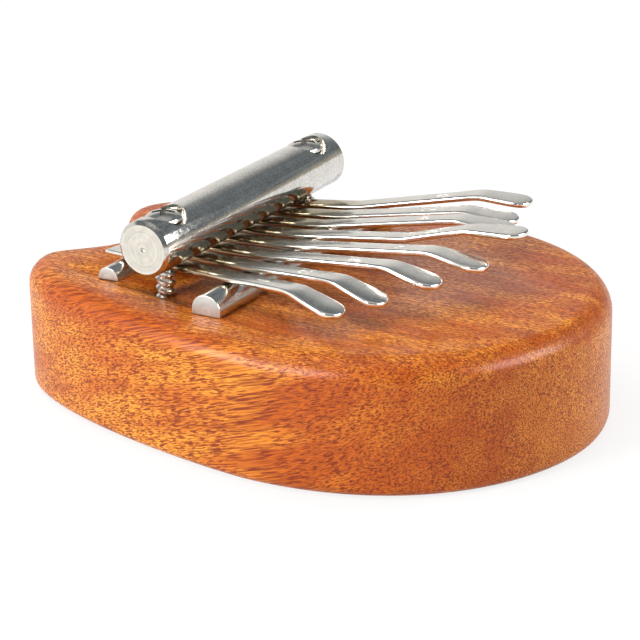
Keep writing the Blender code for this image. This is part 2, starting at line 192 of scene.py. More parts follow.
class StageLook(bpy.types.PropertyGroup):
    """Camera, lights and floor."""
    focal_pixels: FloatProperty(
        name="Focal length", description="Focal length in pixels of the frame", default=2442.5)
    frame_pixels: IntProperty(name="Frame", description="Width of the frame in pixels", default=640)
    yaw: angle_prop("Yaw", "Camera heading from +X", 31.0)
    pitch: angle_prop("Pitch", "Camera pitch down", 20.75)
    roll: angle_prop("Roll", "Camera roll", -1.02)
    from_bar: FloatVectorProperty(
        name="From bar", description="Camera place from the middle of the pressure bar",
        default=(-0.27655, -0.17943, 0.10665), size=3, subtype="TRANSLATION", unit="LENGTH")
    floor: colour_prop("Floor", "Colour of the floor", (0.86, 0.86, 0.86))
    dome_radius: length_prop("Dome radius", "Radius of the studio dome", 1.5)
    dome_back: colour_prop("Dome back", "Shade low down at the back", (0.95, 0.94, 0.92))
    dome_dim: colour_prop("Dome dim", "Shade in front and higher up", (0.19, 0.215, 0.235))
    dome_front: colour_prop("Dome front", "Shade low down in front", (0.50, 0.45, 0.37))
    dome_top: colour_prop("Dome top", "Shade overhead", (0.55, 0.55, 0.54))


def placed(name, data):
    """A new object of this scene."""
    obj = bpy.data.objects.new(name, data)
    bpy.context.scene.collection.objects.link(obj)
    return obj


def new_object(name, mesh, *materials):
    """A new object of this scene with its materials in their slots."""
    for mat in materials:
        mesh.materials.append(mat)
    return placed(name, mesh)


def of_kind(items, kind):
    """The verts, edges or faces among the items that a mesh operator gives back."""
    return [item for item in items if isinstance(item, kind)]


def baked_mesh(obj, *spares):
    """The mesh that an object shows. The object and its spares are then deleted."""
    bpy.context.view_layer.update()
    evaluated = obj.evaluated_get(bpy.context.evaluated_depsgraph_get())
    mesh = bpy.data.meshes.new_from_object(evaluated)
    for spare in (obj, *spares):
        bpy.data.objects.remove(spare, do_unlink=True)
    return mesh


def weld(bm):
    """Joins the points that lie on each other."""
    bmesh.ops.remove_doubles(bm, verts=bm.verts[:], dist=WELD_DISTANCE)


def finished_mesh(name, bm, sharp=math.radians(35)):
    """Turns all faces outwards and gives back a smooth mesh with its sharp edges kept."""
    bmesh.ops.recalc_face_normals(bm, faces=bm.faces[:])
    if bm.calc_volume(signed=True) < 0:
        bmesh.ops.reverse_faces(bm, faces=bm.faces[:])
    mesh = bpy.data.meshes.new(name)
    bm.to_mesh(mesh)
    bm.free()
    mesh.shade_smooth()
    mesh.set_sharp_from_angle(angle=sharp)
    return mesh


def sharp_edges(bm, least):
    """The edges whose two faces meet at more than the least angle."""
    edges = [edge for edge in bm.edges if len(edge.link_faces) == 2]
    return [edge for edge in edges if edge.calc_face_angle(0.0) > least]


def round_edges(bm, edges, radius, segments):
    """Rounds the edges with a full bevel."""
    bmesh.ops.bevel(
        bm, geom=edges, offset=radius, segments=segments, profile=0.5, affect="EDGES",
        clamp_overlap=False, material=-1)


def round_rim(bm, faces, radius, steps):
    """Raises flat faces in small steps, each set in a little, so that their rim is rounded."""
    turns = [math.pi / 2 * step / steps for step in range(steps + 1)]
    for before, after in zip(turns, turns[1:]):
        bmesh.ops.inset_region(
            bm, faces=faces, thickness=radius * (math.cos(before) - math.cos(after)),
            depth=radius * (math.sin(after) - math.sin(before)), use_even_offset=True,
            use_boundary=True)


def keep_above(bm, height):
    """Cuts off all that lies below a height and gives back the edges of the cut."""
    result = bmesh.ops.bisect_plane(
        bm, geom=bm.verts[:] + bm.edges[:] + bm.faces[:], plane_co=(0, 0, height),
        plane_no=(0, 0, 1), clear_inner=True)
    return of_kind(result["geom_cut"], bmesh.types.BMEdge)


def cut(mesh, cutters):
    """Cuts closed meshes out of a closed mesh and gives the result back as a new mesh."""
    source = placed("cut_source", mesh)
    tools = []
    for number, cutter in enumerate(cutters):
        modifier = source.modifiers.new("cut_" + str(number), "BOOLEAN")
        modifier.operation = "DIFFERENCE"
        modifier.solver = "EXACT"
        modifier.object = placed("cut_tool_" + str(number), cutter)
        tools.append(modifier.object)
    return baked_mesh(source, *tools)


def cylinder(name, radius, low, high, sides):
    """A closed upright cylinder between two points that lie one above the other."""
    bm = bmesh.new()
    bmesh.ops.create_cone(
        bm, cap_ends=True, segments=sides, radius1=radius, radius2=radius, depth=high.z - low.z)
    bmesh.ops.translate(bm, verts=bm.verts, vec=(low + high) / 2)
    return finished_mesh(name, bm)


def spun(bm, points, axis, steps):
    """Spins a half section of (along the axis, radius) points a full turn round an axis."""
    side = Vector((0, 0, 1)) if abs(axis.z) < 0.5 else Vector((1, 0, 0))
    verts = [bm.verts.new(axis * along + side * radius) for along, radius in points]
    edges = [bm.edges.new(pair) for pair in zip(verts, verts[1:])]
    bmesh.ops.spin(
        bm, geom=verts + edges, cent=(0, 0, 0), axis=axis, angle=math.tau, steps=steps,
        use_merge=True)
    weld(bm)


class NodeTree:
    """Short ways to add and join shader nodes."""

    def __init__(self, tree):
        self.tree = tree

    def add(self, kind, **values):
        node = self.tree.nodes.new("ShaderNode" + kind)
        for key, value in values.items():
            setattr(node, key, value)
        return node

    def put(self, source, target):
        self.tree.links.new(source, target)

    def noise(self, vector, scale, detail=3.0, roughness=0.55):
        node = self.add("TexNoise")
        node.inputs["Scale"].default_value = scale
        node.inputs["Detail"].default_value = detail
        node.inputs["Roughness"].default_value = roughness
        self.put(vector, node.inputs["Vector"])
        return node.outputs["Fac"]

    def mapped(self, vector, scale, rotation=(0, 0, 0)):
        node = self.add("Mapping")
        node.inputs["Scale"].default_value = scale
        node.inputs["Rotation"].default_value = rotation
        self.put(vector, node.inputs["Vector"])
        return node.outputs["Vector"]

    def ramp(self, value, low, high, to_low=0.0, to_high=1.0):
        node = self.add("MapRange", interpolation_type="SMOOTHSTEP")
        limits = {"From Min": low, "From Max": high, "To Min": to_low, "To Max": to_high}
        for name, number in limits.items():
            node.inputs[name].default_value = number
        self.put(value, node.inputs["Value"])
        return node.outputs["Result"]

    def math(self, operation, first, second):
        node = self.add("Math", operation=operation)
        for socket, item in zip(node.inputs, (first, second)):
            if isinstance(item, (int, float)):
                socket.default_value = item
            else:
                self.put(item, socket)
        return node.outputs["Value"]

    def mix(self, factor, first, second):
        node = self.add("Mix", data_type="RGBA")
        for name, item in (("Factor_Float", factor), ("A_Color", first), ("B_Color", second)):
            socket = next(s for s in node.inputs if s.identifier == name)
            if isinstance(item, (int, float)):
                socket.default_value = item
            elif isinstance(item, bpy.types.NodeSocket):
                self.put(item, socket)
            else:
                socket.default_value = (*item, 1.0)
        return next(s for s in node.outputs if s.identifier == "Result_Color")

    def scaled(self, colour, value):
        node = self.add("VectorMath", operation="SCALE")
        if isinstance(colour, bpy.types.NodeSocket):
            self.put(colour, node.inputs["Vector"])
        else:
            node.inputs["Vector"].default_value = colour
        self.put(value, node.inputs["Scale"])
        return node.outputs["Vector"]

    def bump(self, height, strength, distance):
        node = self.add("Bump")
        node.inputs["Strength"].default_value = strength
        node.inputs["Distance"].default_value = distance
        self.put(height, node.inputs["Height"])
        return node.outputs["Normal"]


def new_group(name, inputs, outputs):
    """An empty shader node group with named sockets, ready to be filled."""
    group = bpy.data.node_groups.new(name, "ShaderNodeTree")
    for socket, kind in inputs:
        group.interface.new_socket(socket, in_out="INPUT", socket_type=kind)
    for socket, kind in outputs:
        group.interface.new_socket(socket, in_out="OUTPUT", socket_type=kind)
    ends = group.nodes.new("NodeGroupInput"), group.nodes.new("NodeGroupOutput")
    return group, NodeTree(group), ends


def tool_marks_group():
    """Fine marks drawn out along one direction, with broad smudges over them."""
    if "tool_marks" in bpy.data.node_groups:
        return bpy.data.node_groups["tool_marks"]
    group, nodes, (start, end) = new_group(
        "tool_marks", (("Vector", "NodeSocketVector"),),
        (("Marks", "NodeSocketFloat"), ("Smudges", "NodeSocketFloat")))
    marks = nodes.noise(start.outputs["Vector"], 1.0, 4.0, 0.6)
    smudges = nodes.noise(start.outputs["Vector"], 0.13, 2.0, 0.5)
    nodes.put(marks, end.inputs["Marks"])
    nodes.put(nodes.ramp(smudges, 0.35, 0.68), end.inputs["Smudges"])
    return group


def wood_fibres_group():
    """Grain along Y, climbing a little to the tip: figure, fibres, pores and long level lines."""
    group, nodes, (start, end) = new_group(
        "wood_fibres", (("Vector", "NodeSocketVector"),),
        [(name, "NodeSocketFloat") for name in ("Figure", "Fibres", "Pores", "Lines")])
    vector = nodes.mapped(start.outputs["Vector"], (1, 1, 1), (GRAIN_CLIMB, 0, 0))
    figure = nodes.noise(nodes.mapped(vector, (260, 22, 260)), 1.0, 4.0, 0.55)
    fibres = nodes.noise(nodes.mapped(vector, (5000, 125, 5000)), 1.0, 4.0, 0.65)
    pores = nodes.noise(nodes.mapped(vector, (4900, 180, 4900)), 1.0, 2.0, 0.5)
    lines = nodes.noise(nodes.mapped(start.outputs["Vector"], (2800, 70, 2800)), 1.0, 3.0, 0.6)
    nodes.put(nodes.ramp(lines, 0.47, 0.58), end.inputs["Lines"])
    nodes.put(nodes.ramp(figure, 0.32, 0.68), end.inputs["Figure"])
    nodes.put(nodes.ramp(fibres, 0.40, 0.58), end.inputs["Fibres"])
    nodes.put(nodes.ramp(pores, 0.51, 0.60), end.inputs["Pores"])
    return group


def placed_group(nodes, group, vector):
    """A node of the group that is fed with the vector."""
    node = nodes.add("Group", node_tree=group)
    nodes.put(vector, node.inputs["Vector"])
    return node


def new_material(name):
    """A new material with its short ways, its shader and the object's coordinates."""
    mat = bpy.data.materials.new(name)
    mat.use_nodes = True
    nodes = NodeTree(mat.node_tree)
    shader = mat.node_tree.nodes["Principled BSDF"]
    coordinates = nodes.add("TexCoord").outputs["Object"]
    return mat, nodes, shader, coordinates


def flank_light_and_end_grain(nodes, figure, along):
    """Painted light and end grain along the flank: painted light by the bar, painted shade with
    darker, even end grain to the tip, painted light at the very tip.
    """
    broad = nodes.ramp(along, -0.004, -0.018, 0.15, -0.40)
    # Paler again at the very tip: painted light
    at_tip = nodes.ramp(along, -0.034, -0.042, 0.0, 0.60)
    evened = nodes.math("SUBTRACT", 0.5, figure)
    evened = nodes.math("MULTIPLY", evened, nodes.ramp(along, -0.010, -0.026, 0.0, 0.6))
    return nodes.math("ADD", nodes.math("ADD", broad, at_tip), evened)


def lacquered_wood(look):
    """Orange-red wood with open pores under a clear gloss lacquer."""
    mat, nodes, shader, place = new_material("lacquered_wood")
    grain = placed_group(nodes, wood_fibres_group(), place)
    axes = nodes.add("SeparateXYZ")
    nodes.put(place, axes.inputs["Vector"])
    below_top = nodes.math("SUBTRACT", BODY_HIGH.z, axes.outputs["Z"])
    # A deeper, redder band along the upper part of the top edge's round
    deeper = nodes.math(
        "MULTIPLY", nodes.ramp(below_top, 0.0001, 0.0006),
        nodes.ramp(below_top, look.edge_radius * 0.3, look.edge_radius * 0.9, 0.45, 0.0))
    # Painted light and shade along the flank, together with the end grain toward the tip
    light_and_grain = flank_light_and_end_grain(nodes, grain.outputs["Figure"], axes.outputs["Y"])
    on_flank = nodes.ramp(below_top, look.edge_radius * 0.5, look.edge_radius * 1.5)
    figure = nodes.math("ADD", grain.outputs["Figure"], nodes.math("MULTIPLY", light_and_grain, on_flank))
    colour = nodes.mix(figure, look.mid_wood, look.pale_wood)
    colour = nodes.mix(deeper, colour, look.rim_wood)
    dark = nodes.mix(0.75, look.mid_wood, look.dark_wood)
    between = nodes.math("SUBTRACT", 1.0, grain.outputs["Fibres"])
    colour = nodes.mix(nodes.math("MULTIPLY", between, 0.8), colour, dark)
    pores = nodes.math("MULTIPLY", grain.outputs["Pores"], 0.95)
    colour = nodes.mix(pores, colour, look.dark_wood)
    on_top = nodes.ramp(below_top, 0.0002, look.edge_radius * 0.6, 0.55, 0.0)
    lines = nodes.math("MULTIPLY", grain.outputs["Lines"], on_top)
    colour = nodes.mix(lines, colour, look.dark_wood)
    nodes.put(colour, shader.inputs["Base Color"])
    roughness = nodes.ramp(grain.outputs["Fibres"], 0.0, 1.0, 0.50, 0.34)
    nodes.put(roughness, shader.inputs["Roughness"])
    relief = nodes.math("SUBTRACT", grain.outputs["Fibres"], grain.outputs["Pores"])
    nodes.put(nodes.bump(relief, 0.22, 0.00006), shader.inputs["Normal"])
    shader.inputs["Coat Weight"].default_value = 0.27
    shader.inputs["Coat Roughness"].default_value = 0.22
    shader.inputs["Coat IOR"].default_value = 1.5
    shader.inputs["Specular IOR Level"].default_value = 0.12
    return mat


def toned(colour, share):
    """A lighter or darker shade of a colour."""
    return tuple(min(1.0, channel * share) for channel in colour)


def metal(name, colour, stretch, roughness, depth, strength, grit, beside_bar=None):
    """Bare or plated metal whose tool marks set its roughness and a shallow relief."""
    mat, nodes, shader, place = new_material(name)
    marks = placed_group(nodes, tool_marks_group(), nodes.mapped(place, stretch))
    tint = nodes.mix(marks.outputs["Smudges"], toned(colour, 0.90), colour)
    # In front of the bar the colour turns into painted shade and a painted reflection of the wood
    # and the bar
    if beside_bar:
        axes = nodes.add("SeparateXYZ")
        nodes.put(place, axes.inputs["Vector"])
        along = axes.outputs["Y"]
        near = nodes.ramp(along, BAR_LOW.y - PAINTED_SHADE_FROM, BAR_LOW.y - PAINTED_SHADE_FULL)
        in_front = nodes.ramp(along, BAR_CENTRE.y, BAR_HIGH.y, 1.0, 0.0)
        tint = nodes.mix(nodes.math("MULTIPLY", near, in_front), tint, beside_bar)
    speckle = nodes.ramp(nodes.noise(place, 3600.0, 2.0), 0.38, 0.62, 1.0 - grit, 1.0 + grit)
    nodes.put(nodes.scaled(tint, speckle), shader.inputs["Base Color"])
    low, high = roughness
    nodes.put(nodes.ramp(marks.outputs["Marks"], 0.3, 0.7, low, high), shader.inputs["Roughness"])
    nodes.put(nodes.bump(marks.outputs["Marks"], strength, depth), shader.inputs["Normal"])
    shader.inputs["Metallic"].default_value = 1.0
    return mat


def shared_metal(name, colour, **finish):
    """The metal of this name, which is made when it is first asked for."""
    return bpy.data.materials.get(name) or metal(name, colour, **finish)


def turned_nickel(look):
    return shared_metal(
        "turned_nickel", look.plate, stretch=(3200, 1300, 1300), roughness=(0.06, 0.17),
        depth=0.000006, strength=0.35, grit=0.13)


def drawn_nickel(look):
    return shared_metal(
        "drawn_nickel", look.plate, stretch=(300, 1900, 1900), roughness=(0.12, 0.26),
        depth=0.00001, strength=0.4, grit=0.10)


def turned_rings_group():
    """Fine rings round an axis that runs along X through a given centre."""
    if "turned_rings" in bpy.data.node_groups:
        return bpy.data.node_groups["turned_rings"]
    group, nodes, (start, end) = new_group(
        "turned_rings", (("Vector", "NodeSocketVector"), ("Centre", "NodeSocketVector")),
        (("Rings", "NodeSocketFloat"),))
    away = nodes.add("VectorMath", operation="SUBTRACT")
    nodes.put(start.outputs["Vector"], away.inputs[0])
    nodes.put(start.outputs["Centre"], away.inputs[1])
    radial = nodes.add("VectorMath", operation="LENGTH")
    nodes.put(nodes.mapped(away.outputs["Vector"], (0, 1, 1)), radial.inputs[0])
    along = nodes.add("CombineXYZ")
    nodes.put(radial.outputs["Value"], along.inputs["X"])
    rings = nodes.noise(along.outputs["Vector"], 2600.0, 2.0)
    nodes.put(nodes.ramp(rings, 0.35, 0.65), end.inputs["Rings"])
    return group


def turned_face(colour, name, centre):
    """Matt end of a rod, turned on a lathe."""
    mat, nodes, shader, place = new_material(name + "_turned_face")
    rings = placed_group(nodes, turned_rings_group(), place)
    rings.inputs["Centre"].default_value = centre
    marks = placed_group(nodes, tool_marks_group(), nodes.mapped(place, (900, 900, 900)))
    tint = nodes.mix(rings.outputs["Rings"], toned(colour, 0.86), colour)
    nodes.put(tint, shader.inputs["Base Color"])
    nodes.put(nodes.ramp(marks.outputs["Marks"], 0.3, 0.7, 0.34, 0.48), shader.inputs["Roughness"])
    nodes.put(nodes.bump(rings.outputs["Rings"], 0.5, 0.00001), shader.inputs["Normal"])
    shader.inputs["Metallic"].default_value = 1.0
    return mat


def satin_steel(look):
    return shared_metal(
        "satin_steel", look.steel, stretch=(700, 2400, 2400), roughness=(0.15, 0.25),
        depth=0.000006, strength=0.14, grit=0.04, beside_bar=look.beside_bar)


def polished_and_highlit_edge(look):
    # The edges get the steel's colour made a quarter lighter, a painted highlight; their lower
    # roughness is their polish
    return shared_metal(
        "polished_and_highlit_edge", toned(look.steel, 1.25), stretch=(700, 700, 1800), roughness=(0.10, 0.18),
        depth=0.000004, strength=0.08, grit=0.05, beside_bar=look.beside_bar)


def highlit_stamp_steel(look):
    # The numbers get the steel's colour made lighter by three tenths: a painted highlight that
    # makes them read white
    return shared_metal(
        "highlit_stamp_steel", toned(look.steel, 1.3), stretch=(1500, 1500, 1500), roughness=(0.25, 0.45),
        depth=0.00001, strength=0.4, grit=0.15)


def body_outline(look):
    """The outline as a ring of points: a round tip, drawn-in flanks, two lobes and a notch."""
    tip_y, lobe_y = BODY_LOW.y, BODY_HIGH.y
    wide_x = BODY_HIGH.x
    wide_y = tip_y + look.widest_from_tip
    lobe_x = look.lobe_spacing / 2
    notch_y = lobe_y - look.notch_depth
    tip, notch = (0, tip_y), (0, notch_y)
    widest, lobe = (wide_x, wide_y), (lobe_x, lobe_y)
    # Number of points and the four knots of each curve in the right half
    spans = (
        (70, tip, (look.tip_fullness, tip_y), (wide_x, wide_y - look.flank_to_tip), widest),
        (70, widest, (wide_x, wide_y + look.flank_to_lobe),
         (lobe_x + look.lobe_outward, lobe_y), lobe),
        (34, lobe, (lobe_x - look.lobe_inward, lobe_y), (look.notch_fullness, notch_y), notch),
    )
    right = []
    for count, *span in spans:
        knots = [Vector((x, y, 0)) for x, y in span]
        right += interpolate_bezier(*knots, count)[:-1]
    left = [Vector((-point.x, point.y, 0)) for point in reversed(right[1:])]
    return right + [Vector((*notch, 0))] + left


class THUMBPIANO_OT_body(bpy.types.Operator):
    """Model the lacquered wooden body"""
    bl_idname = "thumbpiano.body"
    bl_label = "Wooden Body"

    def execute(self, context):
        look = context.scene.thumb_body
        bm = bmesh.new()
        base = bm.faces.new([bm.verts.new(point) for point in body_outline(look)])
        bmesh.ops.translate(bm, verts=bm.verts, vec=(0, 0, BODY_LOW.z))
        raised = bmesh.ops.extrude_face_region(bm, geom=[base], use_keep_orig=True)
        top = of_kind(raised["geom"], bmesh.types.BMVert)
        bmesh.ops.translate(bm, verts=top, vec=(0, 0, BODY_HIGH.z - BODY_LOW.z))
        bmesh.ops.recalc_face_normals(bm, faces=bm.faces[:])
        for height, radius in ((BODY_HIGH.z, look.edge_radius), (BODY_LOW.z, look.foot_radius)):
            rim = [edge for edge in bm.edges
                   if all(abs(vert.co.z - height) < FLAT_TOLERANCE for vert in edge.verts)]
            round_edges(bm, rim, radius, segments=9)
        holes = []
        for low, high in SCREW_BOXES.values():
            bottom = Vector(((low.x + high.x) / 2, BAR_CENTRE.y, low.z))
            above = Vector((bottom.x, bottom.y, BAR_LOW.z))
            holes.append(cylinder("pilot_hole", look.hole_radius, bottom, above, sides=40))
        mesh = cut(finished_mesh("lacquered_body", bm), holes)
        body = new_object("lacquered_body", mesh, lacquered_wood(look))
        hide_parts("wooden_body")
        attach(body, "root")
        return {"FINISHED"}


def bar_section(look):
    """Half section of the bar along X, with turned rings and a centre mark at both ends."""
    half = (BAR_HIGH.x - BAR_LOW.x) / 2
    face_edge = BAR_RADIUS - look.rim_round
    ring_count = 9
    ring_depth = 0.000022
    dimple = look.dimple_radius
    rim = look.rim_round
    end = [(-half + dimple * 0.8, 0.0), (-half + dimple * 0.5, dimple * 0.6)]
    for ring in range(2 * ring_count + 1):
        radius = dimple + (face_edge - dimple) * ring / (2 * ring_count)
        end.append((-half + ring_depth * (ring % 2), radius))
    end.append((-half + rim * 0.06, face_edge + rim * 0.06))
    end.append((-half + rim * 0.80, BAR_RADIUS - rim * 0.08))
    end.append((-half + rim, BAR_RADIUS))
    return end + [(-along, radius) for along, radius in reversed(end)]


class THUMBPIANO_OT_bar(bpy.types.Operator):
    """Model the round pressure bar with its screw pockets"""
    bl_idname = "thumbpiano.bar"
    bl_label = "Pressure Bar"

    def execute(self, context):
        look = context.scene.thumb_rods
        bm = bmesh.new()
        spun(bm, bar_section(look), Vector((1, 0, 0)), steps=128)
        bmesh.ops.translate(bm, verts=bm.verts, vec=BAR_CENTRE)
        solid = finished_mesh("bar_solid", bm)
        above = Vector((0, 0, BAR_RADIUS))
        cutters = []
        for low, high in SCREW_BOXES.values():
            middle = Vector(((low.x + high.x) / 2, BAR_CENTRE.y, BAR_HIGH.z))
            floor = middle - Vector((0, 0, look.pocket_depth))
            bottom, top = middle - 3 * above, middle + above
            cutters.append(cylinder("pocket", look.pocket_radius, floor, top, sides=72))
            cutters.append(cylinder("bore", look.bore_radius, bottom, top, sides=48))
        bm = bmesh.new()
        bm.from_mesh(cut(solid, cutters))
        weld(bm)
        for face in bm.faces:
            flat = abs(face.normal.x) > 0.9
            outside = abs(face.calc_center_median().x) > BAR_HIGH.x - look.rim_round
            face.material_index = 1 if flat and outside else 0
        bar = new_object("turned_bar", finished_mesh("turned_bar", bm), turned_nickel(look),
                         turned_face(look.turned_face, "bar", BAR_CENTRE))
        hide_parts("pressure_bar")
        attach(bar, "root")
        return {"FINISHED"}


def screw_section(look, head_radius, length):
    """Half section of a bar screw: a domed pan head with a soft edge, a plain core and a point."""
    points = [(look.head_height, 0.0)]
    edge = look.head_height * 0.38
    dome = look.head_height - edge
    steps = 10
    for step in range(1, steps + 1):
        turn = math.pi / 2 * step / steps
        points.append((edge + dome * math.cos(turn), head_radius * math.sin(turn)))
    points += [(edge * 0.35, head_radius), (0.0, head_radius * 0.94), (0.0, look.core_radius)]
    points += [(-length + look.point_length, look.core_radius), (-length, 0.0)]
    return points


def thread(bm, look, start, turns):
    """A ridge wound down the screw's core, closed at both ends."""
    inner = look.core_radius * 0.96
    half = look.thread_pitch * 0.40
    crest = half * 0.30
    outer = look.thread_radius
    corners = ((inner, half), (outer, crest), (outer, -crest), (inner, -half))
    ring = [bm.verts.new((radius, 0, start + z)) for radius, z in corners]
    edges = [bm.edges.new((ring[i], ring[(i + 1) % len(ring)])) for i in range(len(ring))]
    first = bm.faces.new(ring)
    steps = 28
    bmesh.ops.spin(
        bm, geom=ring + edges, cent=(0, 0, 0), axis=(0, 0, 1),
        dvec=(0, 0, -look.thread_pitch / steps), angle=math.tau * turns, steps=steps * turns)
    open_edges = [edge for edge in bm.edges if edge.is_boundary and edge not in first.edges]
    bmesh.ops.contextual_create(bm, geom=open_edges)


class THUMBPIANO_OT_screws(bpy.types.Operator):
    """Model the two bar screws with their threads and cross recesses"""
    bl_idname = "thumbpiano.screws"
    bl_label = "Bar Screws"

    def execute(self, context):
        look = context.scene.thumb_rods
        for side, (low, high) in SCREW_BOXES.items():
            seat = high.z - look.head_height
            length = seat - low.z
            section = screw_section(look, (high.x - low.x) / 2, length)
            bm = bmesh.new()
            spun(bm, section, Vector((0, 0, 1)), steps=72)
            head = finished_mesh("screw_head", bm)
            slots = []
            slot = look.slot_width, look.slot_length
            for across in (slot, slot[::-1]):
                bm = bmesh.new()
                bmesh.ops.create_cube(bm, size=1.0)
                bmesh.ops.scale(bm, verts=bm.verts, vec=(*across, 2 * look.slot_depth))
                bmesh.ops.translate(bm, verts=bm.verts, vec=(0, 0, look.head_height))
                slots.append(finished_mesh("driver_slot", bm))
            bm = bmesh.new()
            bm.from_mesh(cut(head, slots))
            bmesh.ops.dissolve_degenerate(bm, dist=WELD_DISTANCE, edges=bm.edges[:])
            turns = int((length - look.thread_end) / look.thread_pitch)
            thread(bm, look, -look.thread_pitch * 0.8, turns)
            turned = Matrix.Rotation(SCREW_TURN, 3, "Z")
            bmesh.ops.rotate(bm, verts=bm.verts, cent=(0, 0, 0), matrix=turned)
            middle = Vector(((low.x + high.x) / 2, BAR_CENTRE.y, seat))
            bmesh.ops.translate(bm, verts=bm.verts, vec=middle)
            name = side + "_screw"
            screw = new_object(name, finished_mesh(name, bm), drawn_nickel(look))
            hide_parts(side + "_bar_screw")
            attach(screw, "root")
        return {"FINISHED"}


class THUMBPIANO_OT_bridges(bpy.types.Operator):
    """Model the two half-round bridges"""
    bl_idname = "thumbpiano.bridges"
    bl_label = "Bridges"

    def execute(self, context):
        look = context.scene.thumb_rods
        radii = {"front_bridge": look.front_radius, "rear_bridge": look.rear_radius}
        for node, radius in radii.items():
            low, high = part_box(node)
            middle = Vector(((low.x + high.x) / 2, (low.y + high.y) / 2, high.z - radius))
            bm = bmesh.new()
            bmesh.ops.create_cone(
                bm, cap_ends=True, segments=96, radius1=radius, radius2=radius,
                depth=high.x - low.x)
            on_its_side = Matrix.Rotation(math.pi / 2, 3, "Y")
            bmesh.ops.rotate(bm, verts=bm.verts, cent=(0, 0, 0), matrix=on_its_side)
            bmesh.ops.translate(bm, verts=bm.verts, vec=middle)
            seat = keep_above(bm, BODY_HIGH.z)
            bmesh.ops.contextual_create(bm, geom=seat)
            bmesh.ops.recalc_face_normals(bm, faces=bm.faces[:])
            round_edges(bm, sharp_edges(bm, math.radians(50)), radius * 0.07, segments=3)
            for face in bm.faces:
                face.material_index = 1 if abs(face.normal.x) > 0.9 else 0
            # The bridges' ends take their darker colour, which is painted shade
            piece = new_object(node + "_rod", finished_mesh(node, bm), drawn_nickel(look),
                               turned_face(look.shaded_bridge_face, node, middle))
            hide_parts(node)
            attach(piece, "root")
        return {"FINISHED"}


def bent_line(corners, radius):
    """Rounds each inner corner of a line of (reach, height) corners with an arc."""
    points = [corners[0]]
    for before, corner, after in zip(corners, corners[1:], corners[2:]):
        arriving = (corner - before).normalized()
        leaving = (after - corner).normalized()
        bend = abs(arriving.angle_signed(leaving))
        start = corner - arriving * radius * math.tan(bend / 2)
        side = Vector((-arriving.y, arriving.x)) * (1 if arriving.cross(leaving) > 0 else -1)
        steps = 8
        for step in range(steps + 1):
            swing = bend * step / steps
            aside, ahead = 1 - math.cos(swing), math.sin(swing)
            points.append(start + side * radius * aside + arriving * radius * ahead)
    points.append(corners[-1])
    return points


class Tine:
    """Middle line, width and place of one tine, from its joints and its row of sizes."""

    def __init__(self, index, look):
        self.number = str(index + 1)
        self.look = look
        self.kink, self.tip, rise, droop, lift, lift_rise = TINE_SHAPES[index]
        pluck = JOINTS["tine_" + self.number + "_pluck"]
        slide = Vector(JOINTS["tine_" + self.number + "_tuning"]["axis"])
        across = Vector(pluck["axis"])
        along = Vector((across.y, -across.x, 0))
        self.place = Matrix((across, along, Vector((0, 0, 1)))).transposed().to_4x4()
        self.place.translation = Vector(pluck["pos_m"])
        low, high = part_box("tine_" + self.number + "_shank")
        slope = slide.z / slide.xy.length
        self.tail = -(high.y - low.y - look.width * abs(along.x)) / abs(along.y)
        corners = [Vector((self.tail, self.tail * slope)), Vector((0, 0))]
        climb = rise
        if lift:
            corners.append(Vector((lift, lift * math.tan(rise))))
            climb = lift_rise
        last = corners[-1]
        corners.append(Vector((self.kink, last.y + (self.kink - last.x) * math.tan(climb))))
        corners.append(Vector((self.tip, corners[-1].y + (self.tip - self.kink) * math.tan(droop))))
        self.line = bent_line(corners, look.bend_radius)

    def half_width(self, reach):
        half, wide = self.look.width / 2, self.look.paddle_width / 2
        shoulder = self.tip - self.look.paddle_round
        start = self.kink - self.look.flare
        share = min(1.0, max(0.0, (reach - start) / (shoulder - start)))
        width = half + (wide - half) * share * share * (3 - 2 * share)
        if reach > shoulder:
            bluntness = 2.3
            width *= (1 - ((reach - shoulder) / self.look.paddle_round) ** bluntness) ** 0.5
        return width

    def middle(self, reach):
        """Point and upward normal of the middle line at a reach."""
        for before, after in zip(self.line, self.line[1:]):
            if reach <= after.x or after is self.line[-1]:
                along = after - before
                point = before + along * ((reach - before.x) / along.x)
                along.normalize()
                return point, Vector((-along.y, along.x))

    def at(self, reach, across, height):
        point, normal = self.middle(reach)
        flat = point + normal * height
        return self.place @ Vector((across, flat.x, flat.y))

    def reaches(self):
        shoulder = self.tip - self.look.paddle_round
        spacing = 0.0005
        count = round((shoulder - self.tail) / spacing)
        straight = [self.tail + (shoulder - self.tail) * i / count for i in range(count)]
        steps = 12
        turns = [math.pi / 2 * i / steps for i in range(steps)]
        return straight + [shoulder + self.look.paddle_round * math.sin(turn) for turn in turns]


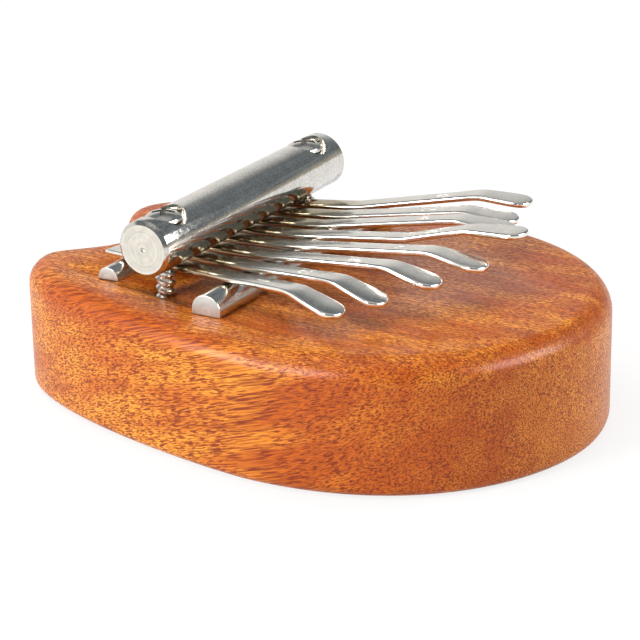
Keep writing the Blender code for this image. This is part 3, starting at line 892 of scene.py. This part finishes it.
class THUMBPIANO_OT_tines(bpy.types.Operator):
    """Model the eight steel tines, each one unbroken strip that bends at the front bridge"""
    bl_idname = "thumbpiano.tines"
    bl_label = "Tines"

    def execute(self, context):
        look = context.scene.thumb_tines
        for index in range(len(TINE_SHAPES)):
            tine = Tine(index, look)
            reaches = tine.reaches()
            columns = len(reaches) - 1
            bm = bmesh.new()
            bmesh.ops.create_grid(bm, x_segments=1, y_segments=columns, size=0.5)
            side = look.thickness / 2 - look.edge_round
            for vert in bm.verts:
                reach = reaches[round((vert.co.y + 0.5) * columns)]
                vert.co = (vert.co.x * 2 * tine.half_width(reach), reach, side)
            upper = bm.faces[:]
            lower = bmesh.ops.extrude_face_region(bm, geom=upper, use_keep_orig=True)["geom"]
            moved = of_kind(lower, bmesh.types.BMVert)
            bmesh.ops.translate(bm, verts=moved, vec=(0, 0, -2 * side))
            bmesh.ops.recalc_face_normals(bm, faces=bm.faces[:])
            for faces in (upper, of_kind(lower, bmesh.types.BMFace)):
                round_rim(bm, faces, look.edge_round, steps=4)
            for face in bm.faces:
                # Flat tops take the satin steel; rounded rims and sides take the edge steel with
                # its painted highlight
                face.material_index = 0 if abs(face.normal.z) > 0.99 else 1
            for vert in bm.verts:
                vert.co = tine.at(vert.co.y, vert.co.x, vert.co.z)
            name = "tine_" + tine.number
            mesh = finished_mesh(name, bm)
            piece = new_object(name, mesh, satin_steel(look), polished_and_highlit_edge(look))
            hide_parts(name + "_shank", name + "_tongue")
            tine.at(-0.001, 0, 0)
            tine.at(0.005, 0, 0)
            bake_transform(piece)
        return {"FINISHED"}


class THUMBPIANO_OT_stamps(bpy.types.Operator):
    """Stamp a plain number on each tine"""
    bl_idname = "thumbpiano.stamps"
    bl_label = "Stamped Numbers"

    def execute(self, context):
        look = context.scene.thumb_tines
        for index in range(len(TINE_SHAPES)):
            tine = Tine(index, look)
            text = bpy.data.curves.new("stamp", "FONT")
            text.body = str(look.first_number + index)
            text.size = look.stamp_height * FONT_SIZE_PER_DIGIT
            text.extrude = look.stamp_relief * 2 / 3
            text.offset = look.stamp_stroke
            text.resolution_u = 4
            text.align_x = "CENTER"
            text.align_y = "CENTER"
            bm = bmesh.new()
            bm.from_mesh(baked_mesh(placed("stamp_source", text)))
            weld(bm)
            reach = tine.kink - look.stamp_before_kink
            surface = look.thickness / 2 + look.stamp_relief / 3
            for vert in bm.verts:
                vert.co = tine.at(reach - vert.co.y, vert.co.x, surface + vert.co.z)
            name = "stamp_" + tine.number
            piece = new_object(name, finished_mesh(name, bm), highlit_stamp_steel(look))
            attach(piece, "tongue_" + tine.number)
        return {"FINISHED"}


def area_light(name, place, size, power, mirrored):
    """A soft light that lights surfaces, or a panel that is only mirrored in them."""
    data = bpy.data.lights.new(name, "AREA")
    data.shape = "RECTANGLE"
    data.size, data.size_y = size
    data.energy = power
    light = placed(name, data)
    light.visible_glossy = mirrored
    light.visible_diffuse = not mirrored
    light.location = place
    light.rotation_mode = "QUATERNION"
    light.rotation_quaternion = (LIGHT_TARGET - Vector(place)).to_track_quat("-Z", "Y")


def make_dome(look):
    """A dome that only mirrors see: pale low down at the back, dimmer in front and higher up."""
    bm = bmesh.new()
    bmesh.ops.create_uvsphere(bm, u_segments=48, v_segments=24, radius=look.dome_radius)
    keep_above(bm, DOME_FOOT)
    mat, nodes, _, coordinates = new_material("studio_dome")
    axes = nodes.add("SeparateXYZ")
    nodes.put(coordinates, axes.inputs["Vector"])
    depth, height = axes.outputs["Y"], axes.outputs["Z"]
    radius = look.dome_radius
    up = nodes.ramp(height, 0.45 * radius, 0.66 * radius)
    front = nodes.ramp(depth, 0.58 * radius, -0.05 * radius)
    patches = nodes.ramp(nodes.noise(coordinates, 5.0, 3.0), 0.35, 0.65, 0.75, 1.25)
    dim = nodes.scaled(look.dome_dim, patches)
    low = nodes.ramp(height, 0.20 * radius, 0.02 * radius)
    dim = nodes.mix(low, dim, look.dome_front)
    shade = nodes.mix(nodes.math("MAXIMUM", up, front), look.dome_back, dim)
    overhead = nodes.ramp(height, 0.80 * radius, 0.97 * radius)
    glow = nodes.add("Emission")
    nodes.put(nodes.mix(overhead, shade, look.dome_top), glow.inputs["Color"])
    nodes.put(glow.outputs["Emission"], mat.node_tree.nodes["Material Output"].inputs["Surface"])
    dome = new_object("studio_dome", finished_mesh("studio_dome", bm), mat)
    dome.visible_camera = False
    dome.visible_diffuse = False
    dome.visible_shadow = False


def background_share(nodes):
    """One for rays that see the background itself: from the camera, or mirrored or refracted."""
    path = nodes.add("LightPath")
    share = nodes.math("MAXIMUM", path.outputs["Is Camera Ray"], path.outputs["Is Glossy Ray"])
    return nodes.math("MAXIMUM", share, path.outputs["Is Transmission Ray"])


def make_world():
    """Soft light from all round, with plain white for the background itself."""
    world = bpy.data.worlds.new("studio")
    world.use_nodes = True
    nodes = NodeTree(world.node_tree)
    soft = world.node_tree.nodes["Background"]
    soft.inputs["Color"].default_value = (1.0, 0.985, 0.965, 1.0)
    soft.inputs["Strength"].default_value = 0.50
    white = nodes.add("Background")
    white.inputs["Strength"].default_value = 1.0
    white.inputs["Color"].default_value = (1.0, 1.0, 1.0, 1.0)
    blend = nodes.add("MixShader")
    nodes.put(background_share(nodes), blend.inputs[0])
    nodes.put(soft.outputs[0], blend.inputs[1])
    nodes.put(white.outputs[0], blend.inputs[2])
    nodes.put(blend.outputs[0], world.node_tree.nodes["World Output"].inputs["Surface"])
    bpy.context.scene.world = world


def make_floor(look):
    """A pale floor that takes shadows and otherwise fades into the white background."""
    bm = bmesh.new()
    bmesh.ops.create_grid(bm, x_segments=1, y_segments=1, size=FLOOR_HALF_WIDTH)
    mat = bpy.data.materials.new("pale_floor")
    mat.use_nodes = True
    nodes = NodeTree(mat.node_tree)
    shader = mat.node_tree.nodes["Principled BSDF"]
    shader.inputs["Base Color"].default_value = (*look.floor, 1.0)
    shader.inputs["Roughness"].default_value = 0.9
    shader.inputs["Specular IOR Level"].default_value = 0.0
    glow = nodes.add("Emission")
    glow.inputs["Color"].default_value = (1.0, 1.0, 1.0, 1.0)
    blend = nodes.add("MixShader")
    nodes.put(nodes.math("MULTIPLY", background_share(nodes), 0.8), blend.inputs[0])
    nodes.put(shader.outputs[0], blend.inputs[1])
    nodes.put(glow.outputs[0], blend.inputs[2])
    nodes.put(blend.outputs[0], mat.node_tree.nodes["Material Output"].inputs["Surface"])
    new_object("floor", finished_mesh("floor", bm), mat)


def make_camera(look):
    """The photo's camera, placed from the middle of the pressure bar."""
    heading = Vector((math.cos(look.yaw), math.sin(look.yaw), 0))
    level = Vector((math.sin(look.yaw), -math.cos(look.yaw), 0))
    ahead = heading * math.cos(look.pitch) - Vector((0, 0, math.sin(look.pitch)))
    upright = heading * math.sin(look.pitch) + Vector((0, 0, math.cos(look.pitch)))
    right = level * math.cos(look.roll) + upright * math.sin(look.roll)
    up = upright * math.cos(look.roll) - level * math.sin(look.roll)
    data = bpy.data.cameras.new("camera")
    data.sensor_width = 36.0
    data.lens = data.sensor_width * look.focal_pixels / look.frame_pixels
    data.clip_start = 0.01
    camera = placed("camera", data)
    place = Matrix((right, up, -ahead)).transposed().to_4x4()
    place.translation = BAR_CENTRE + Vector(look.from_bar)
    camera.matrix_world = place
    bpy.context.scene.camera = camera


class THUMBPIANO_OT_stage(bpy.types.Operator):
    """Set the camera, lights, floor and background"""
    bl_idname = "thumbpiano.stage"
    bl_label = "Stage"

    def execute(self, context):
        look = context.scene.thumb_stage
        context.scene.view_settings.view_transform = "Standard"
        make_camera(look)
        make_world()
        make_floor(look)
        for light in LIGHTS:
            area_light(*light)
        make_dome(look)
        return {"FINISHED"}


class THUMBPIANO_PT_panel(bpy.types.Panel):
    """Lists the pieces of the thumb piano"""
    bl_idname = "THUMBPIANO_PT_panel"
    bl_label = "Thumb Piano"
    bl_space_type = "VIEW_3D"
    bl_region_type = "UI"
    bl_category = "Thumb Piano"

    def draw(self, context):
        for operator in OPERATORS:
            self.layout.operator(operator.bl_idname)
        for group in GROUPS:
            box = self.layout.box()
            for name in group.__annotations__:
                box.prop(getattr(context.scene, GROUPS[group]), name)


OPERATORS = (
    THUMBPIANO_OT_stage, THUMBPIANO_OT_body, THUMBPIANO_OT_bar, THUMBPIANO_OT_screws,
    THUMBPIANO_OT_bridges, THUMBPIANO_OT_tines, THUMBPIANO_OT_stamps,
)
GROUPS = {
    BodyLook: "thumb_body", RodLook: "thumb_rods",
    TineLook: "thumb_tines", StageLook: "thumb_stage",
}


def register():
    for cls in (*GROUPS, *OPERATORS, THUMBPIANO_PT_panel):
        bpy.utils.register_class(cls)
    for group, name in GROUPS.items():
        setattr(bpy.types.Scene, name, PointerProperty(type=group))


def unregister():
    for name in GROUPS.values():
        delattr(bpy.types.Scene, name)
    for cls in reversed((*GROUPS, *OPERATORS, THUMBPIANO_PT_panel)):
        bpy.utils.unregister_class(cls)


def main():
    register()
    for operator in OPERATORS:
        group, name = operator.bl_idname.split(".")
        getattr(getattr(bpy.ops, group), name)()


if __name__ == "__main__":
    main()
